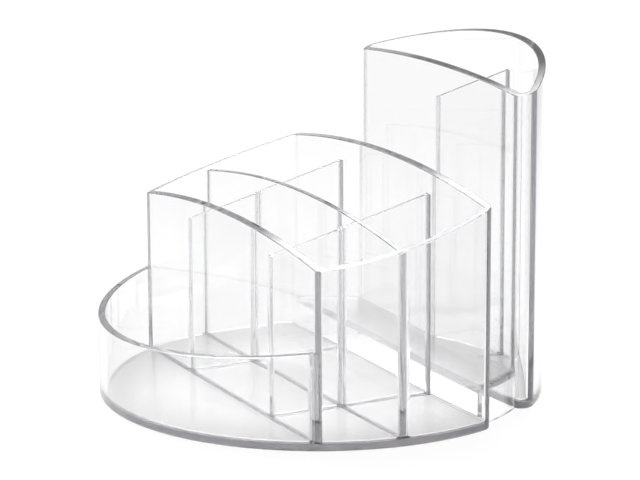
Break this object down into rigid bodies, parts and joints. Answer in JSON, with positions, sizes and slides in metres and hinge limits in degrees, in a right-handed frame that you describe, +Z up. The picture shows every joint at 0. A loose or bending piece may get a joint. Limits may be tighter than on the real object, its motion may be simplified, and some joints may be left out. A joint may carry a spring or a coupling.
{
  "type": "desk organizer",
  "caption": "Round clear plastic desk organizer: a low crescent tray in front, a box of small compartments, an open slot and a tall divided pen tower at the back.",
  "frame": {"origin": "centre of the round footprint, on the surface that the organizer stands on", "axes": "+X to the right, +Y to the back where the pen tower is, +Z up; the tray is at -Y"},
  "size_m": [0.14, 0.14, 0.1085],
  "materials": {
    "clear_wall": "clear polished polystyrene, outer walls",
    "clear_floor": "clear polished polystyrene, floors",
    "clear_divider": "clear polished polystyrene, thin dividers"
  },
  "bodies": {
    "root": {"main_floor": "clear_floor", "tray_wall": "clear_wall", "mid_front_wall": "clear_wall", "mid_back_wall": "clear_wall", "mid_left_wall": "clear_wall", "mid_right_wall": "clear_wall", "long_divider": "clear_divider", "cross_divider_front_left": "clear_divider", "cross_divider_front_right": "clear_divider", "cross_divider_rear_left": "clear_divider", "cross_divider_rear_right": "clear_divider", "slot_floor": "clear_floor", "slot_left_end": "clear_wall", "slot_right_end": "clear_wall", "tower_floor": "clear_floor", "tower_front_wall": "clear_wall", "tower_outer_wall": "clear_wall", "tower_divider": "clear_divider"}
  },
  "joints": []
}
